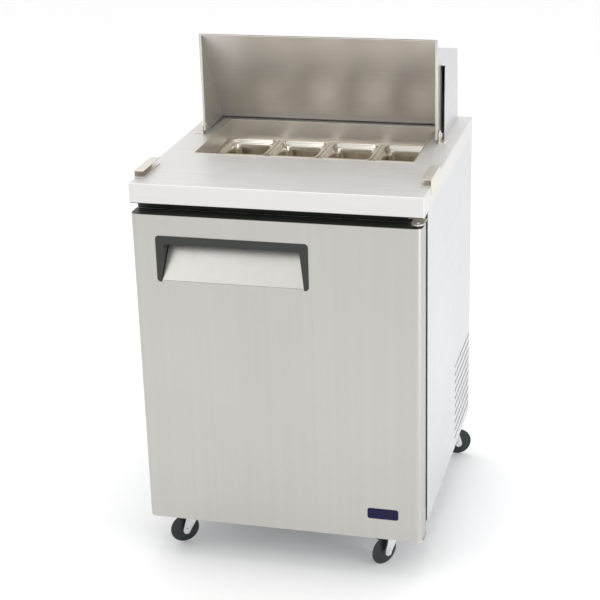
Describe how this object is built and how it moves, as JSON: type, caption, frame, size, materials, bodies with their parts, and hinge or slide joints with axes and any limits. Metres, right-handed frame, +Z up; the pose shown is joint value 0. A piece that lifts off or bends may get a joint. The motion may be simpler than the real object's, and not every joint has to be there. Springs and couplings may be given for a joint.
{
  "type": "sandwich prep table",
  "caption": "Refrigerated prep table: stainless cabinet with one door, a worktop with a well of lift-out pans under a tilting lid and rear hood, on swivel casters.",
  "frame": {"origin": "on the floor, under the middle of the table's bounding box", "axes": "+X to the right, -Y to the front where the door is, +Z up"},
  "size_m": [0.7206, 0.726, 1.233],
  "materials": {
    "stainless_worktop": "brushed, fine straight grain",
    "stainless_door": "brushed, fine upright grain",
    "stainless_side": "brushed, light satin",
    "stainless_lid": "satin, reflective inside",
    "stainless_pan": "drawn, bright satin",
    "stainless_fittings": "satin",
    "galvanized": "galvanized, faint spangle",
    "black_moulding": "fine-textured moulding",
    "badge_blue": "gloss, blank",
    "cabinet_lining": "smooth white liner",
    "insulation": "closed-cell foam",
    "gasket": "soft vinyl",
    "zinc": "zinc-plated pressing",
    "wheel_black": "hard rubber, slight sheen",
    "wire_white": "plastic-coated wire",
    "copper_fin": "aluminium fins on copper tube",
    "machine_black": "black enamel",
    "motor_grey": "dark enamel",
    "fan_black": "moulded",
    "fan_metal": "mill finish"
  },
  "bodies": {
    "cabinet": {"worktop": "stainless_worktop", "well_liner": "stainless_fittings", "pan_bars": "stainless_fittings", "rear_hood": "stainless_side", "hood_liner": "galvanized", "lid_brackets": "stainless_fittings", "board_brackets": "stainless_fittings", "side_panel_left": "stainless_side", "side_panel_right": "stainless_side", "back_panel": "galvanized", "rear_grille": "galvanized", "base_pan": "galvanized", "caster_rails": "galvanized", "cabinet_liner": "cabinet_lining", "cabinet_foam": "insulation", "front_frame": "black_moulding", "hinge_brackets": "stainless_fittings", "shelf_standards": "stainless_fittings", "wire_shelf": "wire_white", "evaporator_coil": "copper_fin", "evaporator_cover": "cabinet_lining", "fan_motors": "motor_grey", "compressor": "machine_black", "condenser_coil": "machine_black", "drain_pan": "fan_black", "controller": "black_moulding", "power_inlet": "black_moulding", "caster_plates": "zinc", "fasteners": "zinc"},
    "lid": {"lid_skin": "stainless_lid", "lid_pivot_pins": "stainless_fittings"},
    "door": {"door_skin": "stainless_door", "door_liner": "cabinet_lining", "door_foam": "insulation", "door_caps": "black_moulding", "door_gasket": "gasket", "handle_frame": "black_moulding", "handle_plate": "stainless_door", "badge": "badge_blue", "door_hinge_pins": "zinc"},
    "pan_front_1": {"pan_front_1": "stainless_pan"},
    "pan_front_2": {"pan_front_2": "stainless_pan"},
    "pan_front_3": {"pan_front_3": "stainless_pan"},
    "pan_front_4": {"pan_front_4": "stainless_pan"},
    "pan_rear_1": {"pan_rear_1": "stainless_pan"},
    "pan_rear_2": {"pan_rear_2": "stainless_pan"},
    "pan_rear_3": {"pan_rear_3": "stainless_pan"},
    "pan_rear_4": {"pan_rear_4": "stainless_pan"},
    "fork_front_left": {"fork_front_left": "zinc"},
    "wheel_front_left": {"wheel_front_left": "wheel_black"},
    "fork_front_right": {"fork_front_right": "zinc"},
    "wheel_front_right": {"wheel_front_right": "wheel_black"},
    "fork_rear_left": {"fork_rear_left": "zinc"},
    "wheel_rear_left": {"wheel_rear_left": "wheel_black"},
    "fork_rear_right": {"fork_rear_right": "zinc"},
    "wheel_rear_right": {"wheel_rear_right": "wheel_black"},
    "brake_left": {"brake_left": "fan_black"},
    "brake_right": {"brake_right": "fan_black"},
    "evaporator_fan": {"evaporator_fan": "fan_black"},
    "condenser_fan": {"condenser_fan": "fan_metal"}
  },
  "joints": [
    {"name": "lid_hinge", "type": "hinge", "parent": "cabinet", "child": "lid", "pos_m": [0, 0.104, 0.991], "axis": [-1, 0, 0], "range_deg": [-90, 0]},
    {"name": "door_hinge", "type": "hinge", "parent": "cabinet", "child": "door", "pos_m": [0.332, -0.336, 0.5], "axis": [0, 0, 1], "range_deg": [0, 110]},
    {"name": "pan_front_1_lift", "type": "slide", "parent": "cabinet", "child": "pan_front_1", "axis": [0, 0, 1], "range_m": [0, 0.15]},
    {"name": "pan_front_2_lift", "type": "slide", "parent": "cabinet", "child": "pan_front_2", "axis": [0, 0, 1], "range_m": [0, 0.15]},
    {"name": "pan_front_3_lift", "type": "slide", "parent": "cabinet", "child": "pan_front_3", "axis": [0, 0, 1], "range_m": [0, 0.15]},
    {"name": "pan_front_4_lift", "type": "slide", "parent": "cabinet", "child": "pan_front_4", "axis": [0, 0, 1], "range_m": [0, 0.15]},
    {"name": "pan_rear_1_lift", "type": "slide", "parent": "cabinet", "child": "pan_rear_1", "axis": [0, 0, 1], "range_m": [0, 0.08]},
    {"name": "pan_rear_2_lift", "type": "slide", "parent": "cabinet", "child": "pan_rear_2", "axis": [0, 0, 1], "range_m": [0, 0.08]},
    {"name": "pan_rear_3_lift", "type": "slide", "parent": "cabinet", "child": "pan_rear_3", "axis": [0, 0, 1], "range_m": [0, 0.08]},
    {"name": "pan_rear_4_lift", "type": "slide", "parent": "cabinet", "child": "pan_rear_4", "axis": [0, 0, 1], "range_m": [0, 0.08]},
    {"name": "swivel_front_left", "type": "hinge", "parent": "cabinet", "child": "fork_front_left", "pos_m": [-0.258, -0.276, 0.1], "axis": [0, 0, 1], "continuous": true},
    {"name": "wheel_front_left_spin", "type": "hinge", "parent": "fork_front_left", "child": "wheel_front_left", "pos_m": [-0.28094, -0.29206, 0.0375], "axis": [0.5736, -0.8191, 0], "continuous": true},
    {"name": "swivel_front_right", "type": "hinge", "parent": "cabinet", "child": "fork_front_right", "pos_m": [0.258, -0.276, 0.1], "axis": [0, 0, 1], "continuous": true},
    {"name": "wheel_front_right_spin", "type": "hinge", "parent": "fork_front_right", "child": "wheel_front_right", "pos_m": [0.24, -0.29745, 0.0375], "axis": [0.766, -0.6428, 0], "continuous": true},
    {"name": "swivel_rear_left", "type": "hinge", "parent": "cabinet", "child": "fork_rear_left", "pos_m": [-0.296, 0.325, 0.1], "axis": [0, 0, 1], "continuous": true},
    {"name": "wheel_rear_left_spin", "type": "hinge", "parent": "fork_rear_left", "child": "wheel_rear_left", "pos_m": [-0.32231, 0.33458, 0.0375], "axis": [-0.342, -0.9397, 0], "continuous": true},
    {"name": "swivel_rear_right", "type": "hinge", "parent": "cabinet", "child": "fork_rear_right", "pos_m": [0.296, 0.325, 0.1], "axis": [0, 0, 1], "continuous": true},
    {"name": "wheel_rear_right_spin", "type": "hinge", "parent": "fork_rear_right", "child": "wheel_rear_right", "pos_m": [0.32231, 0.33458, 0.0375], "axis": [-0.342, 0.9397, 0], "continuous": true},
    {"name": "brake_left_press", "type": "hinge", "parent": "fork_front_left", "child": "brake_left", "pos_m": [-0.25964, -0.27715, 0.0825], "axis": [0.5736, -0.8191, 0], "range_deg": [0, 10]},
    {"name": "brake_right_press", "type": "hinge", "parent": "fork_front_right", "child": "brake_right", "pos_m": [0.25671, -0.27753, 0.0825], "axis": [0.766, -0.6428, 0], "range_deg": [0, 10]},
    {"name": "evaporator_fan_spin", "type": "hinge", "parent": "cabinet", "child": "evaporator_fan", "pos_m": [0, 0.226, 0.7], "axis": [0, 1, 0], "continuous": true},
    {"name": "condenser_fan_spin", "type": "hinge", "parent": "cabinet", "child": "condenser_fan", "pos_m": [0.24, 0.24, 0.25], "axis": [-1, 0, 0], "continuous": true}
  ]
}
